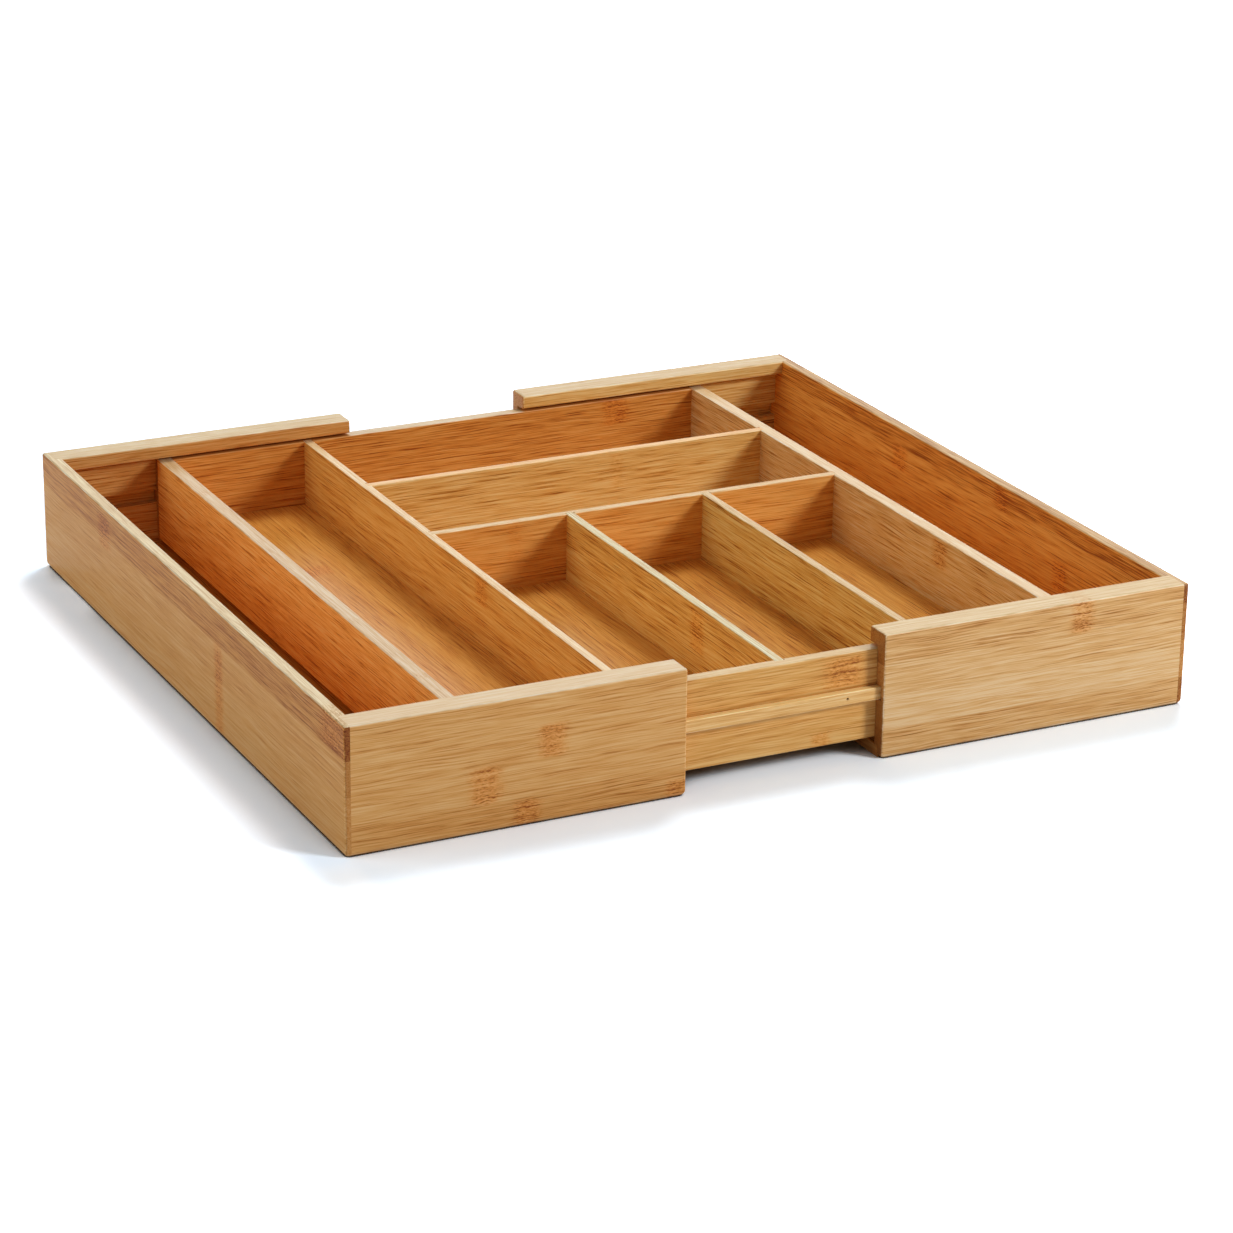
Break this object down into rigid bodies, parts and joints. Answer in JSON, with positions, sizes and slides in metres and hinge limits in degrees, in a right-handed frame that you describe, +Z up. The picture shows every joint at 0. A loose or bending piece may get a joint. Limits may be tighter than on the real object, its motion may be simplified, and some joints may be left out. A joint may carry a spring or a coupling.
{
  "type": "cutlery tray",
  "caption": "Extending bamboo cutlery tray: a divided inner tray between sliding side extensions, which run along wooden rails to fit the drawer's width.",
  "frame": {"origin": "middle of the whole tray's footprint at rest, on the surface it stands on", "axes": "+X to the right, along the way the extensions slide; +Y from the front board to the back board; +Z up"},
  "size_m": [0.456, 0.43, 0.065],
  "materials": {
    "tray_floor": "laminated bamboo under a clear satin lacquer",
    "tray_front_wall": "laminated bamboo under a clear satin lacquer",
    "tray_back_wall": "laminated bamboo under a clear satin lacquer",
    "tray_left_wall": "laminated bamboo under a clear satin lacquer",
    "tray_right_wall": "laminated bamboo under a clear satin lacquer",
    "long_divider": "laminated bamboo under a clear satin lacquer",
    "rear_cross_divider": "laminated bamboo under a clear satin lacquer",
    "middle_cross_divider": "laminated bamboo under a clear satin lacquer",
    "front_divider_left": "laminated bamboo under a clear satin lacquer",
    "front_divider_right": "laminated bamboo under a clear satin lacquer",
    "front_rail": "laminated bamboo under a clear satin lacquer",
    "back_rail": "laminated bamboo under a clear satin lacquer",
    "front_rail_brads": "plain wire, dulled",
    "back_rail_brads": "plain wire, dulled",
    "left_end_board": "laminated bamboo under a clear satin lacquer",
    "left_front_board": "laminated bamboo under a clear satin lacquer",
    "left_back_board": "laminated bamboo under a clear satin lacquer",
    "left_floor": "laminated bamboo under a clear satin lacquer",
    "right_end_board": "laminated bamboo under a clear satin lacquer",
    "right_front_board": "laminated bamboo under a clear satin lacquer",
    "right_back_board": "laminated bamboo under a clear satin lacquer",
    "right_floor": "laminated bamboo under a clear satin lacquer"
  },
  "bodies": {
    "inner_tray": {"tray_floor": "tray_floor", "tray_front_wall": "tray_front_wall", "tray_back_wall": "tray_back_wall", "tray_left_wall": "tray_left_wall", "tray_right_wall": "tray_right_wall", "long_divider": "long_divider", "rear_cross_divider": "rear_cross_divider", "middle_cross_divider": "middle_cross_divider", "front_divider_left": "front_divider_left", "front_divider_right": "front_divider_right", "front_rail": "front_rail", "back_rail": "back_rail", "front_rail_brads": "front_rail_brads", "back_rail_brads": "back_rail_brads"},
    "left_extension": {"left_end_board": "left_end_board", "left_front_board": "left_front_board", "left_back_board": "left_back_board", "left_floor": "left_floor"},
    "right_extension": {"right_end_board": "right_end_board", "right_front_board": "right_front_board", "right_back_board": "right_back_board", "right_floor": "right_floor"}
  },
  "joints": [
    {"name": "left_slide", "type": "slide", "parent": "inner_tray", "child": "left_extension", "axis": [-1, 0, 0], "range_m": [-0.055, 0.06]},
    {"name": "right_slide", "type": "slide", "parent": "inner_tray", "child": "right_extension", "axis": [1, 0, 0], "range_m": [-0.051, 0.064]}
  ]
}
